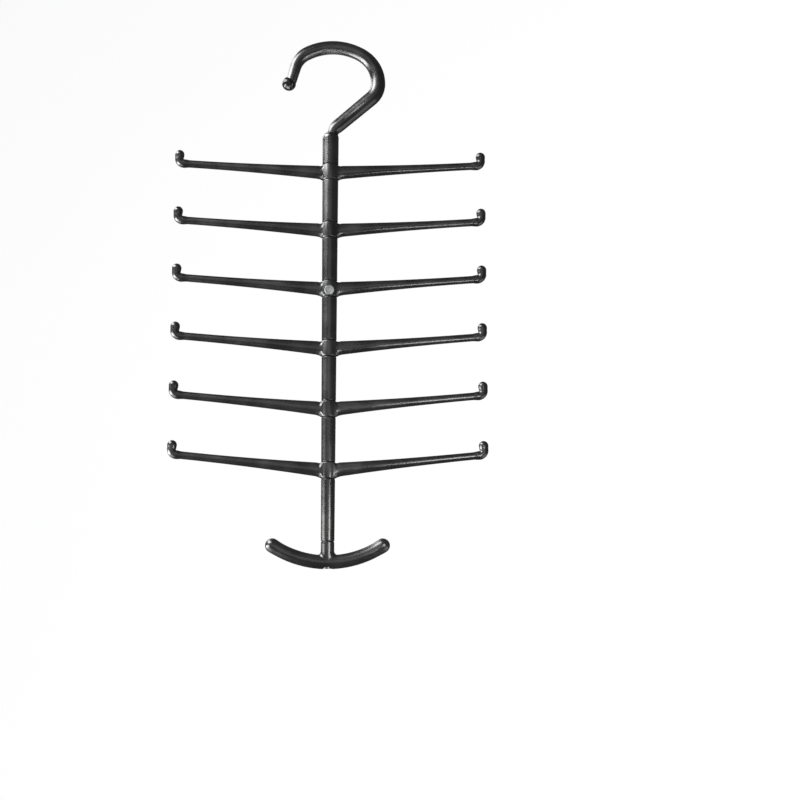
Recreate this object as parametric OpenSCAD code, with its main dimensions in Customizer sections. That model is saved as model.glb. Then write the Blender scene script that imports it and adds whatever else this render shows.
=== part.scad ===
// Closet hanger with a hook, a stacked post and six pairs of arms that turn about the post.
// Millimetres. +Z is up, the arms lie along X and -Y is the front.
// The origin is the underside of the hook's crown, where the hanger rests on a rail.

/* [Hook] */
// Rod diameter at the hook's tip
hook_tip_d = 9; // [7:0.5:10.5]
// Rod diameter at the crown
hook_crown_d = 11.2; // [9:0.2:13]
// Rod diameter at the heel, where the hook is thickest
hook_heel_d = 12.2; // [10:0.2:14]
// Rod diameter at the foot of the slope, above the neck
hook_slope_d = 11.4; // [9.6:0.2:13]
// Rod diameter at the neck, where the hook stands on the post
hook_neck_d = 8.8; // [8:0.2:11]
// How far the ball on the tip stands out from the rod
ball_proud = 1.4; // [0.8:0.1:3]
// Length of the straight end that leans out to the tip
tip_run = 11; // [5:1:18]
// Bend radius of the outward curl that carries the ball
curl_r = 9; // [7:1:14]
// Bend radius between the tip and the crown
shoulder_r = 20; // [14:1:28]
// Bend radius of the crown
crown_r = 47; // [36:1:60]
// Bend radius on the closed side
flank_r = 29; // [20:1:40]
// Bend radius of the heel, below the closed side
heel_r = 17.5; // [12:0.5:26]
// Length of the straight slope from the heel down to the neck
slope_run = 39; // [28:1:50]
// Bend radius of the neck
neck_r = 8; // [6.5:0.5:16]
// How far the neck stands to the right of the post's axis
neck_shift = 1.9; // [0:0.1:3]

/* [Post] */
// Post diameter under the hook
post_top_d = 13.6; // [12.6:0.2:16]
// Post diameter at the foot
post_foot_d = 10.8; // [10.4:0.2:12.4]
// Length of the top sleeve, from the hook to the first collar
top_run = 27.5; // [27:0.5:45]
// Length of the last spacer, from the sixth collar to the foot
foot_run = 50; // [30:1:70]
// Diameter of the spindle
spindle_d = 6; // [5:0.5:6.5]
// Diameter of the stem under the hook
stem_d = 9; // [8.4:0.1:9.4]
// Length of the stem under the hook
stem_len = 23; // [16:1:25]

/* [Arms] */
// Height from one collar to the next
tier_pitch = 50; // [42:1:64]
// Distance from the post's axis to the middle of a turned-up tip
arm_reach = 125.8; // [90:0.2:150]
// Angle by which the first pair of arms rises outwards
arm_rise = 3.4; // [2:0.2:5]
// How much more each further pair rises
rise_step = 0.5; // [0:0.1:0.6]
// Arm diameter where it leaves the collar
arm_root_d = 11.6; // [9:0.2:11.8]
// Arm diameter at its outer end
arm_end_d = 6.2; // [5:0.1:6.8]
// Height of a tip above the arm's axis
tip_rise = 11.4; // [10:0.2:18]
// Diameter of a tip
tip_d = 7.8; // [7.4:0.2:9]
// Height of a collar
collar_h = 13; // [12.8:0.2:16]
// How far a collar stands out from the post
collar_proud = 0.4; // [0.2:0.1:1]
// Outer diameter of a bush
bush_d = 8; // [7.6:0.1:8.4]

/* [Foot bar] */
// How much thicker the foot bar is than the post's foot
bar_extra = 0.4; // [0.2:0.1:2]
// Bend radius of the foot bar
bar_r = 80; // [60:2:140]
// Half of the distance between the middles of the bar's ends
bar_half = 44; // [30:1:52]
// Height of the boss above the bar's axis
boss_h = 16; // [14:1:24]

/* [Small parts] */
// Thickness of a washer
washer_t = 0.6; // [0.4:0.1:1]
// Thickness of the disc spring's sheet
spring_t = 0.5; // [0.3:0.1:0.8]
// Diameter of the pale disc
disc_d = 8; // [6.4:0.2:8.2]
// How far the disc's middle lies below its collar's middle
disc_drop = 2; // [0:0.1:2.2]
// Thickness of the pale disc
disc_t = 2.2; // [1.6:0.1:2.6]
// Diameter of the cross pin
pin_d = 2; // [1.5:0.1:2.5]
// Thread diameter of the foot screw
screw_d = 4; // [3:0.5:4]
// Head diameter of the foot screw
screw_head_d = 7.6; // [6.6:0.2:8]
// Height of the foot screw's head
screw_head_h = 3; // [2.4:0.1:3.4]
// Length of the thread inside the spindle
thread_len = 12; // [8:1:20]

/* [Hidden] */
tier_count = 6;
disc_tier = 3;
round_fn = 64; // sides of the round pieces
small_fn = 48; // sides of the screw and the balls
lap = 0.5; // how far joined shapes reach into each other
cut = 1; // how far a cut starts outside its piece

// Clearances
run_gap = 0.05; // radial gap of what turns or slides on a round piece
face_gap = 0.05; // gap between a collar and a washer
seat_gap = 0.02; // radial gap around a fixed pin, disc or spindle end
loose_gap = 0.15; // radial gap around the screw and inside the ball
end_room = 0.2; // room below the stem and below the spindle

// Route of the hook, from the neck upwards, as steps of [length, turn]: a turn of 0 is a
// straight run, and a positive turn bends to the left
slope_angle = 41.5; // slope of the straight run above the neck, from the horizontal
heel_turn = 44.5;
flank_turn = 64;
crown_turn = 58;
shoulder_turn = 47;
curl_turn = 30;
step_turn = 7.5; // largest angle between two rings of the hook
hook_sides = 20;
socket_rings = 7; // rings of the hook that pass through the ball's socket
function arc_len(r, turn) = r * turn * PI / 180;
hook_route = [
    [arc_len(neck_r, 90 - slope_angle), slope_angle - 90],
    [slope_run, 0],
    [arc_len(heel_r, heel_turn), heel_turn],
    [arc_len(flank_r, flank_turn), flank_turn],
    [arc_len(crown_r, crown_turn), crown_turn],
    [arc_len(shoulder_r, shoulder_turn), shoulder_turn],
    [tip_run, 0],
    [arc_len(curl_r, curl_turn), -curl_turn]];
// Rod diameter at the start of each step and at the tip
lean_d = hook_tip_d + (hook_crown_d - hook_tip_d) / 3;
hook_sizes = [hook_neck_d, hook_slope_d, hook_heel_d, hook_heel_d, hook_crown_d, hook_crown_d,
    lean_d, hook_tip_d, hook_tip_d];

function step_rings(s) = s[1] == 0 ? 4 : ceil(abs(s[1]) / step_turn);
// A ring is [x, z, heading, diameter]; this one lies an n-th of step s beyond ring p
function ring_after(p, s, n, d) =
    let (turn = s[1] / n, len = s[0] / n, half = turn / 2)
    let (chord = turn == 0 ? len : len * sin(abs(half)) / (abs(half) * PI / 180))
    [p[0] + chord * cos(p[2] + half), p[1] + chord * sin(p[2] + half), p[2] + turn, d];
function walk_step(p, s, n, d0, d1, k = 1) = k > n ? [] :
    let (q = ring_after(p, s, n, d0 + (d1 - d0) * k / n))
    concat([q], walk_step(q, s, n, d0, d1, k + 1));
function walk(p, i = 0) = i == len(hook_route) ? [] :
    let (s = hook_route[i], rings = walk_step(p, s, step_rings(s), hook_sizes[i], hook_sizes[i + 1]))
    concat(rings, walk(rings[len(rings) - 1], i + 1));
hook_start = [neck_shift, 0, 90, hook_neck_d];
hook_rings = concat([hook_start], walk(hook_start));
hook_end = hook_rings[len(hook_rings) - 1];
ball_d = hook_tip_d + 2 * ball_proud;

// Heights on the post
neck_z = -max([for (q = hook_rings) q[1] - q[3] / 2]);
stem_foot_z = neck_z - stem_len;
foot_z = neck_z - top_run - (tier_count - 1) * tier_pitch - collar_h - foot_run;
stack_gap = washer_t + 2 * face_gap; // what a washer takes between a spacer and a collar
spring_rise = 0.3; // how far the disc spring's inner edge stands above its outer edge
boss_top_z = foot_z - spring_t - spring_rise;
bar_d = post_foot_d + bar_extra;
bar_z = boss_top_z - boss_h;
function tier_z(i) = neck_z - top_run - collar_h / 2 - (i - 1) * tier_pitch;
// Post diameter at a height: a straight taper from the hook to the foot
function post_d(z) = post_foot_d + (post_top_d - post_foot_d) * (z - bar_z) / (neck_z - bar_z);
function collar_d(i) = post_d(tier_z(i)) + 2 * collar_proud;
collar_edge = 0.8; // radius of a collar's edges
shoulder_h = 4; // height of the top sleeve's rounded shoulder
shoulder_flat = 0.35; // flat ring inside that shoulder, on which the hook stands

// Spindle, stem and their pin
stem_cap = 4; // solid part of the stem above the spindle
spindle_top_z = neck_z - stem_cap;
spindle_foot_z = bar_z + bar_d / 2;
pin_lift = 8; // height of the pin above the stem's foot
pin_z = stem_foot_z + pin_lift;
pin_short = 0.2; // how far each end of the pin lies inside the stem

// Arms
bend_r = 4.2; // bend radius of an arm's axis below its tip
bend_d = 7.2; // diameter of the bend
arm_rings = 8; // steps of the arm's flare
swell_run = 5; // length over which the arm swells into the bend
plug_inset = 0.1; // how far a plug inside a bend lies below its surface
flare_start = post_top_d / 2;
function rise(i) = arm_rise + (i - 1) * rise_step;
// Length of the straight part of an arm that rises by angle a
function arm_run(a) = arm_reach / cos(a) - bend_r + tip_rise * tan(a) / 2;
// Arm diameter at the share s of the way from the root to the swell
function arm_d(s) = arm_end_d + (arm_root_d - arm_end_d) * pow(1 - s, 2);

// Washers, spring, disc, screw and bar
washer_inset = 0.3; // how far a washer's edge lies inside the post's
spring_inset = 0.4; // how far the disc spring's edge lies inside the boss's
disc_proud = 0.3; // how far the disc stands out in front of its collar
disc_rim = 0.8; // width of the disc's flat rim
disc_dish = 0.3; // depth of the hollow inside that rim
head_sink = 0.5; // how far the screw's head lies inside the bar
hex_w = 2.5; // width of the screw's hexagon socket
hex_depth = 1.6;
bar_angle = asin(bar_half / bar_r);
end_proud = 0.2; // how far the rounded ends stand out from the bar

// A rod through the hook's rings, closed at both ends
module swept_rod(rings, sides) {
    points = [for (q = rings) for (k = [0 : sides - 1])
        let (a = 360 * k / sides, r = q[3] / 2)
        [q[0] - r * cos(a) * sin(q[2]), r * sin(a), q[1] + r * cos(a) * cos(q[2])]];
    last = (len(rings) - 1) * sides;
    walls = [for (i = [0 : len(rings) - 2]) for (k = [0 : sides - 1])
        let (a = i * sides + k, b = i * sides + (k + 1) % sides)
        each [[a, b, b + sides], [a, b + sides, a + sides]]];
    ends = [[for (k = [sides - 1 : -1 : 0]) k], [for (k = [0 : sides - 1]) last + k]];
    polyhedron(points, concat(walls, ends));
}

// A round piece with rounded edges, from z = 0 up
module rounded_post(d, h, edge) {
    rotate_extrude($fn = round_fn)
        polygon(concat([[0, 0]],
            [for (a = [-90 : 15 : 0]) [d / 2 - edge + edge * cos(a), edge + edge * sin(a)]],
            [for (a = [0 : 15 : 90]) [d / 2 - edge + edge * cos(a), h - edge + edge * sin(a)]],
            [[0, h]]));
}

// A rod on the post's axis between two heights
module axis_rod(d, z_low, z_high, sides = round_fn) {
    translate([0, 0, z_low]) cylinder(d = d, h = z_high - z_low, $fn = sides);
}

// A rod across the post, from front to back
module cross_rod(d, length) {
    translate([0, 0, pin_z]) rotate([90, 0, 0]) cylinder(d = d, h = length, center = true, $fn = small_fn);
}

module hook() {
    color("#3a3b3e") difference() {
        union() {
            translate([0, 0, neck_z]) swept_rod(hook_rings, hook_sides);
            axis_rod(stem_d, stem_foot_z, neck_z + lap);
        }
        axis_rod(spindle_d + 2 * seat_gap, stem_foot_z - cut, spindle_top_z);
        cross_rod(pin_d + 2 * seat_gap, post_top_d);
    }
}

// The ball has a socket from its middle outwards, which follows the rod's curl
module hook_ball() {
    last = len(hook_rings) - 1;
    socket = [for (k = [last - socket_rings : last])
        let (q = hook_rings[k]) [q[0], q[1], q[2], q[3] + 2 * loose_gap]];
    color("#34353a") translate([0, 0, neck_z]) difference() {
        translate([hook_end[0], 0, hook_end[1]]) sphere(d = ball_d, $fn = round_fn);
        swept_rod(socket, hook_sides);
    }
}

module spindle() {
    color("#b9bcc0") difference() {
        axis_rod(spindle_d, spindle_foot_z, spindle_top_z);
        axis_rod(screw_d + 2 * seat_gap, spindle_foot_z - cut, spindle_foot_z + thread_len, small_fn);
        cross_rod(pin_d + 2 * seat_gap, post_top_d);
    }
}

module stem_pin() {
    color("#8f9296") cross_rod(pin_d, stem_d - 2 * pin_short);
}

// The first stretch of post: its bore is wide round the stem and narrow round the spindle
module top_sleeve() {
    z_low = tier_z(1) + collar_h / 2 + stack_gap;
    step_z = stem_foot_z - end_room;
    r_top = post_d(neck_z) / 2;
    r_spindle = spindle_d / 2 + run_gap;
    r_stem = stem_d / 2 + run_gap;
    shoulder_w = r_top - r_stem - shoulder_flat;
    shoulder = [for (a = [0 : 15 : 90])
        [r_top - shoulder_w * (1 - cos(a)), neck_z - shoulder_h * (1 - sin(a))]];
    color("#4a4c50") rotate_extrude($fn = round_fn)
        polygon(concat([[r_spindle, z_low], [post_d(z_low) / 2, z_low]], shoulder,
            [[r_stem, neck_z], [r_stem, step_z], [r_spindle, step_z]]));
}

// The stretch of post below a collar
module spacer(i) {
    z_high = tier_z(i) - collar_h / 2 - stack_gap;
    z_low = i < tier_count ? tier_z(i + 1) + collar_h / 2 + stack_gap : foot_z;
    r_spindle = spindle_d / 2 + run_gap;
    color("#4a4c50") rotate_extrude($fn = round_fn)
        polygon([[r_spindle, z_low], [post_d(z_low) / 2, z_low], [post_d(z_high) / 2, z_high],
            [r_spindle, z_high]]);
}

// One arm along +X from the post's axis, before it is tilted up by angle a. A short plug
// reaches from the straight part and from the tip into the bend between them.
module arm(a) {
    run = arm_run(a);
    plug_r = bend_d / 2 - plug_inset;
    flare_len = run - swell_run - flare_start;
    flare = [for (k = [0 : arm_rings])
        let (s = k / arm_rings) [arm_d(s) / 2, flare_start + s * flare_len]];
    rotate([0, 90, 0]) rotate_extrude($fn = small_fn)
        polygon(concat([[0, 0], [arm_root_d / 2, 0]], flare,
            [[bend_d / 2, run], [plug_r, run], [plug_r, run + lap], [0, run + lap]]));
    translate([run, 0, bend_r]) rotate([90, 0, 0]) rotate([0, 0, -90])
        rotate_extrude(angle = 90, $fn = 96) translate([bend_r, 0]) circle(d = bend_d, $fn = 32);
    tip_column = tip_rise - bend_r - tip_d / 2;
    translate([run + bend_r, 0, bend_r]) {
        axis_rod(2 * plug_r, -lap, lap, small_fn);
        cylinder(d1 = bend_d, d2 = tip_d, h = tip_column, $fn = small_fn);
        translate([0, 0, tip_column]) sphere(d = tip_d, $fn = small_fn);
    }
}

// A collar with its left and right arm, bored for the bush
module arm_pair(i) {
    color("#3a3b3e") translate([0, 0, tier_z(i)]) difference() {
        union() {
            translate([0, 0, -collar_h / 2]) rounded_post(collar_d(i), collar_h, collar_edge);
            for (side = [0, 180]) rotate([0, 0, side]) rotate([0, -rise(i), 0]) arm(rise(i));
        }
        axis_rod(bush_d, -collar_h / 2 - cut, collar_h / 2 + cut);
        if (i == disc_tier) disc_place(disc_d + 2 * seat_gap, disc_t + cut);
    }
}

// The room of the disc in the collar's front, from its seat outwards
module disc_place(d, t) {
    seat_y = collar_d(disc_tier) / 2 + disc_proud - disc_t;
    translate([0, -seat_y, -disc_drop]) rotate([90, 0, 0]) cylinder(d = d, h = t, $fn = round_fn);
}

module pale_disc() {
    dish_r = (pow(disc_d / 2 - disc_rim, 2) + pow(disc_dish, 2)) / (2 * disc_dish);
    front = collar_d(disc_tier) / 2 + disc_proud;
    color("#c4c8c8") translate([0, 0, tier_z(disc_tier)]) difference() {
        disc_place(disc_d, disc_t);
        translate([0, -front - dish_r + disc_dish, -disc_drop]) sphere(r = dish_r, $fn = 128);
    }
}

module bush(i) {
    color("#b08d4a") translate([0, 0, tier_z(i)]) difference() {
        axis_rod(bush_d, -collar_h / 2, collar_h / 2);
        axis_rod(spindle_d + 2 * run_gap, -collar_h / 2 - cut, collar_h / 2 + cut);
    }
}

// A washer above and below each collar
module washers() {
    color("#1d1d1f") for (i = [1 : tier_count]) for (side = [-1, 1])
        translate([0, 0, tier_z(i) + side * (collar_h + stack_gap) / 2]) difference() {
            axis_rod(post_d(tier_z(i)) - 2 * washer_inset, -washer_t / 2, washer_t / 2);
            axis_rod(spindle_d + 2 * run_gap, -washer_t, washer_t);
        }
}

module disc_spring() {
    r_in = spindle_d / 2 + run_gap;
    r_out = post_foot_d / 2 - spring_inset;
    color("#9a9da1") translate([0, 0, boss_top_z]) rotate_extrude($fn = round_fn)
        polygon([[r_out, 0], [r_out, spring_t], [r_in, spring_t + spring_rise], [r_in, spring_rise]]);
}

// A bar bent upwards, with a boss that takes the spindle from above and the screw from below
module foot_bar() {
    end_z = bar_z + bar_r * (1 - cos(bar_angle));
    head_top_z = bar_z - bar_d / 2 + head_sink + screw_head_h;
    color("#3a3b3e") difference() {
        union() {
            translate([0, 0, bar_z + bar_r]) rotate([90, 0, 0]) rotate([0, 0, -90 - bar_angle])
                rotate_extrude(angle = 2 * bar_angle, $fn = 180)
                    translate([bar_r, 0]) circle(d = bar_d, $fn = small_fn);
            for (side = [-1, 1])
                translate([side * bar_half, 0, end_z]) sphere(d = bar_d + 2 * end_proud, $fn = small_fn);
            axis_rod(post_foot_d, bar_z, boss_top_z);
        }
        axis_rod(spindle_d + 2 * run_gap, spindle_foot_z - end_room, boss_top_z + cut);
        axis_rod(screw_d + 2 * loose_gap, bar_z - bar_d, spindle_foot_z, small_fn);
        axis_rod(screw_head_d + 2 * loose_gap, bar_z - bar_d, head_top_z, small_fn);
    }
}

module foot_screw() {
    head_z = bar_z - bar_d / 2 + head_sink;
    color("#8f9296") difference() {
        union() {
            axis_rod(screw_head_d, head_z, head_z + screw_head_h, small_fn);
            axis_rod(screw_d, head_z + screw_head_h - lap, spindle_foot_z + thread_len - 2 * cut, small_fn);
        }
        axis_rod(hex_w / cos(30), head_z - cut, head_z + hex_depth, 6);
    }
}

hook();
hook_ball();
spindle();
stem_pin();
top_sleeve();
for (i = [1 : tier_count]) {
    spacer(i);
    arm_pair(i);
    bush(i);
}
washers();
pale_disc();
disc_spring();
foot_bar();
foot_screw();
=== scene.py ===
# %% [markdown]
# # A hanger with a stacked post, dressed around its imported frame
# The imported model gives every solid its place. Here each piece that shows gets a smooth skin worked out
# with numpy, and every finish is made of nodes. All lengths below are in millimetres, and a mesh is
# turned into metres only when it is made.

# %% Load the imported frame
import bmesh
import bpy
import numpy as np
from mathutils import Matrix


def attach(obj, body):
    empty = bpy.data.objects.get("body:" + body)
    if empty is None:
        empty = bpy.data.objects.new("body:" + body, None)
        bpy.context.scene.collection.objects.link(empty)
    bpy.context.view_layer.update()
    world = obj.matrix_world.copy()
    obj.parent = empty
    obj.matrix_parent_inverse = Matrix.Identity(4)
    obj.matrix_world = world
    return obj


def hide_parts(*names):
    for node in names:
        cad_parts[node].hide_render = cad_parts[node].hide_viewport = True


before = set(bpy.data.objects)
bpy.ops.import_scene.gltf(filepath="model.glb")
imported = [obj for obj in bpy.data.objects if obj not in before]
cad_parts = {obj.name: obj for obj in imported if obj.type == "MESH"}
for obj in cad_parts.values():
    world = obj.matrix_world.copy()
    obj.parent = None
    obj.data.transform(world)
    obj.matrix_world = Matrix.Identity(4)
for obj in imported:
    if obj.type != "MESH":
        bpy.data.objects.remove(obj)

MM = 0.001
SHARP_ANGLE = np.radians(40)  # an edge that turns by more than this is shaded as a crease
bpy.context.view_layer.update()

# %% [markdown]
# ## The sizes that the skins share with the solids
# The hook is a rod that walks along straight runs and arcs; the post tapers evenly from the hook to the
# foot; six collars sit on it one pitch apart. These are the same named sizes as in the part's source.

# %% Sizes
NECK_Z, BAR_Z, BOSS_TOP_Z, FOOT_Z = -71.5471, -428.8471, -412.8471, -412.0471
TOP_RUN, PITCH, COLLAR_H, TIERS, DISC_TIER = 27.5, 50.0, 13.0, 6, 3
POST_TOP_R, POST_FOOT_R, COLLAR_PROUD, COLLAR_EDGE = 6.8, 5.4, 0.4, 0.8
STACK_GAP, SPINDLE_BORE_R, SPINDLE_SEAT_R, BUSH_R = 0.7, 3.05, 3.02, 4.0
STEM_R, STEM_BORE_R, STEM_LEN = 4.5, 4.55, 23.0


def tier_z(i):
    """Height of the middle of collar i, counted from the top."""
    return NECK_Z - TOP_RUN - COLLAR_H / 2 - (i - 1) * PITCH


def post_r(z):
    """Radius of the post at height z: a straight line from the neck to the foot bar."""
    return POST_FOOT_R + (POST_TOP_R - POST_FOOT_R) * (z - BAR_Z) / (NECK_Z - BAR_Z)


print("collars at", [round(tier_z(i), 2) for i in range(1, TIERS + 1)])

# %% [markdown]
# ## From a grid of points to a closed skin
# Every new piece is a grid: one parameter runs along it, the other runs round it. Neighbouring points
# make four-sided faces. A rod is closed by a fan of triangles at each end, and a turned ring is closed
# because its outline comes back to where it began. The skin also keeps, for each face corner, how far
# along and how far round it lies, in millimetres, so that a finish can follow the piece.


# %% Skins
def skin(grid, along, around, wear=0.0, ring=False):
    """grid[i, j] is point j of row i. Rows are joined by quads, round and round. Where ring is true the
    last row joins the first; otherwise a fan closes each end row at its mean point. The faces are turned
    over when the volume, the sum of a.(b x c) / 6 over all triangles, comes out negative."""
    rows, sides = grid.shape[:2]
    spans = rows if ring else rows - 1
    i, j = (a.ravel() for a in np.meshgrid(np.arange(spans), np.arange(sides), indexing="ij"))
    steps = ((0, 0), (1, 0), (1, 1), (0, 1))
    quads = np.stack([((i + a) % rows) * sides + (j + b) % sides for a, b in steps], -1)
    quad_uv = np.stack([np.stack([along[i + a], around[j + b]], -1) for a, b in steps], 1)
    points = grid.reshape(-1, 3)
    tris, tri_uv = np.zeros((0, 3), int), np.zeros((0, 3, 2))
    if not ring:
        k, last = np.arange(sides), (rows - 1) * sides
        n, middle = (k + 1) % sides, (around[:-1] + around[1:]) / 2
        start, end = len(points), len(points) + 1
        points = np.vstack([points, grid[0].mean(0), grid[-1].mean(0)])
        tris = np.vstack([np.stack([k, n, np.full(sides, start)], -1),
                          np.stack([last + n, last + k, np.full(sides, end)], -1)])
        first, final = np.full(sides, along[0]), np.full(sides, along[rows - 1])
        tri_uv = np.vstack([
            np.stack([np.stack([first, v], -1) for v in (around[:-1], around[1:], middle)], 1),
            np.stack([np.stack([final, v], -1) for v in (around[1:], around[:-1], middle)], 1)])
    worn = np.broadcast_to(wear, (rows, sides)).ravel()
    worn = np.append(worn, np.full(len(points) - len(worn), worn[0]))
    halves = np.vstack([quads[:, [0, 1, 2]], quads[:, [0, 2, 3]], tris])
    a, b, c = (points[halves[:, n]] for n in range(3))
    if np.einsum("ij,ij->i", a, np.cross(b, c)).sum() < 0:
        quads, quad_uv, tris, tri_uv = quads[:, ::-1], quad_uv[:, ::-1], tris[:, ::-1], tri_uv[:, ::-1]
    return points, quads, quad_uv, tris, tri_uv, worn


def mesh_of(name, *skins):
    """One mesh from closed skins, in metres, with its corner distances and its wear."""
    starts = np.cumsum([0] + [len(s[0]) for s in skins[:-1]])
    points = np.vstack([s[0] for s in skins]) * MM
    quads = np.vstack([s[1] + n for s, n in zip(skins, starts)])
    tris = np.vstack([s[3] + n for s, n in zip(skins, starts)])
    mesh = bpy.data.meshes.new(name)
    mesh.from_pydata(points.tolist(), [], quads.tolist() + tris.tolist())
    uv = np.concatenate([np.vstack([s[2] for s in skins]).reshape(-1, 2),
                         np.vstack([s[4] for s in skins]).reshape(-1, 2)])
    mesh.uv_layers.new(name="lengths").data.foreach_set("uv", (uv * MM).astype(np.float32).ravel())
    worn = mesh.attributes.new("wear", "FLOAT", "POINT")
    worn.data.foreach_set("value", np.concatenate([s[5] for s in skins]).astype(np.float32))
    mesh.polygons.foreach_set("use_smooth", np.ones(len(mesh.polygons), bool))
    mesh.set_sharp_from_angle(angle=SHARP_ANGLE)
    return mesh


# %% From skins to finished pieces
def new_object(mesh):
    """An object at the origin that shows the mesh."""
    obj = bpy.data.objects.new(mesh.name, mesh)
    bpy.context.scene.collection.objects.link(obj)
    return obj


def cut_away(mesh, *tools):
    """The mesh with each tool's solid taken out of it, by Blender's exact boolean."""
    body = new_object(mesh)
    cutters = [new_object(t) for t in tools]
    for cutter in cutters:
        cutter.hide_render = True
        step = body.modifiers.new("cut", "BOOLEAN")
        step.operation, step.solver, step.object = "DIFFERENCE", "EXACT", cutter
    bpy.context.view_layer.update()
    seen = body.evaluated_get(bpy.context.evaluated_depsgraph_get())
    made = bpy.data.meshes.new_from_object(seen)
    made.name = mesh.name + "_cut"
    for obj in (body, *cutters):
        bpy.data.objects.remove(obj)
    made.set_sharp_from_angle(angle=SHARP_ANGLE)
    return made


def settle(name, mesh, material, slot, body, *nodes):
    """A finished piece: named, painted, riding on its body and standing for its CAD nodes."""
    mesh.materials.clear()
    mesh.materials.append(material)
    obj = new_object(mesh)
    obj.name = name
    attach(obj, body)
    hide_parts(*nodes)
    print(name, "has", len(mesh.polygons), "faces")


# %% [markdown]
# ## Rods, turned rings and soft corners
# A rod is a circle carried along a line in the plane of the hanger. A turned piece is an outline spun
# about the post. Real edges are never knife sharp: each corner of an outline is rounded by a short
# parabola, with a guard point on either side that keeps the long faces flat in the shading.


# %% Shape helpers
CORNER_STEPS = 5


def smooth(t):
    """0 before 0, 1 after 1, and 3t^2 - 2t^3 between."""
    t = np.clip(t, 0, 1)
    return t * t * (3 - 2 * t)


def rod_grid(x, z, heading, r, sides):
    """Circles of radius r round the points (x, 0, z), each square to its heading: the point at angle q
    is the centre + r (cos q N + sin q Y), where N is the heading turned a quarter to the left."""
    q = np.arange(sides) * 2 * np.pi / sides
    x, z, heading, r = (np.asarray(a, float)[:, None] for a in (x, z, heading, r))
    return np.stack([x - r * np.cos(q) * np.sin(heading), r * np.sin(q) + 0 * x,
                     z + r * np.cos(q) * np.cos(heading)], -1)


def round_lengths(r, sides):
    """How far round a circle of radius r each corner lies, with the first corner again at the end."""
    return np.linspace(0, 2 * np.pi * r, sides + 1)


def soft_corners(corners, radius):
    """A closed outline with each corner P replaced by (1-q)^2 A + 2q(1-q) P + q^2 B, where A and B lie
    one radius from P along its two sides, and by a guard point half a radius beyond A and B."""
    p = np.asarray(corners, float)
    radius = np.broadcast_to(radius, len(p))[:, None]
    back, fore = np.roll(p, 1, 0) - p, np.roll(p, -1, 0) - p
    back, fore = (radius * d / np.linalg.norm(d, axis=1, keepdims=True) for d in (back, fore))
    q = np.linspace(0, 1, CORNER_STEPS)[None, :, None]
    arc = (1 - q) ** 2 * (p + back)[:, None] + 2 * q * (1 - q) * p[:, None] + q ** 2 * (p + fore)[:, None]
    guarded = [(p + 1.5 * back)[:, None], arc, (p + 1.5 * fore)[:, None]]
    return np.concatenate(guarded, 1).reshape(-1, 2)


def turned(outline, wear=0.0, sides=96):
    """The closed outline of (radius, height) points spun about the post's axis."""
    q = np.arange(sides) * 2 * np.pi / sides
    r, z = outline[:, 0, None], outline[:, 1, None]
    grid = np.stack([r * np.cos(q), r * np.sin(q), z + 0 * q], -1)
    loop = np.vstack([outline, outline[:1]])
    along = np.append(0, np.cumsum(np.linalg.norm(np.diff(loop, axis=0), axis=1)))
    wear = np.broadcast_to(wear, len(outline))[:, None]
    return skin(grid, along, round_lengths(outline[:, 0].max(), sides), wear, ring=True)


def plain_rod(centre, axis, r, length, sides=64):
    """A cutter: a closed rod of radius r from centre along axis y or z."""
    q = np.arange(sides) * 2 * np.pi / sides
    far = np.array([0.0, length])[:, None]
    flat = np.stack([r * np.cos(q) + 0 * far, r * np.sin(q) + 0 * far, far + 0 * q], -1)
    order = {"z": (0, 1, 2), "y": (0, 2, 1)}[axis]
    grid = flat[..., order] + np.asarray(centre, float)
    return skin(grid, far[:, 0], round_lengths(r, sides))


# %% [markdown]
# ## Effects that several finishes share
# The dark parts are cast metal under a glossy lacquer. Close up, such lacquer has a faint orange peel,
# soft smears from handling, fine hairlines where things slide along it, and a paler rub where it is
# touched most. Each effect is a node group that puts out values only; the shader stays in the material.


# %% Node helpers
def add(tree, kind, values=(), **settings):
    """A new shader node with its settings, and plain values on some of its sockets."""
    node = tree.nodes.new("ShaderNode" + kind)
    for key, value in settings.items():
        setattr(node, key, value)
    for key, value in dict(values).items():
        node.inputs[key].default_value = value
    return node


def feed(tree, socket, value):
    """Gives a socket a plain number, or the output of another node."""
    if isinstance(value, (int, float)):
        socket.default_value = value
    else:
        tree.links.new(value, socket)


def new_group(name, inputs, outputs):
    """A node group with inputs (label, kind, value) and number outputs, and the sockets at its two ends."""
    group = bpy.data.node_groups.new(name, "ShaderNodeTree")
    for label, kind, value in inputs:
        socket = group.interface.new_socket(label, in_out="INPUT", socket_type="NodeSocket" + kind)
        if kind == "Float":
            socket.default_value = value
    for label in outputs:
        group.interface.new_socket(label, in_out="OUTPUT", socket_type="NodeSocketFloat")
    return group, group.nodes.new("NodeGroupInput").outputs, group.nodes.new("NodeGroupOutput").inputs


def maths(tree, operation, a, b):
    """One step of arithmetic on two numbers or outputs."""
    node = add(tree, "Math", operation=operation)
    for socket, value in zip(node.inputs, (a, b)):
        feed(tree, socket, value)
    return node.outputs[0]


def cells(tree, size_mm):
    """The scale of a noise in metres whose patches have the given size in millimetres."""
    return maths(tree, "DIVIDE", 1000.0, size_mm)


def in_steps(tree, metres, step_mm):
    """How many steps of the given size in millimetres a length in metres holds."""
    return maths(tree, "DIVIDE", maths(tree, "MULTIPLY", metres, 1000.0), step_mm)


def spread(tree, value, low, high, to_low=0.0, to_high=1.0):
    """The value stretched from low..high to to_low..to_high, and held inside that."""
    node = add(tree, "MapRange", {1: low, 2: high, 3: to_low, 4: to_high}, clamp=True)
    tree.links.new(value, node.inputs[0])
    return node.outputs[0]


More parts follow.
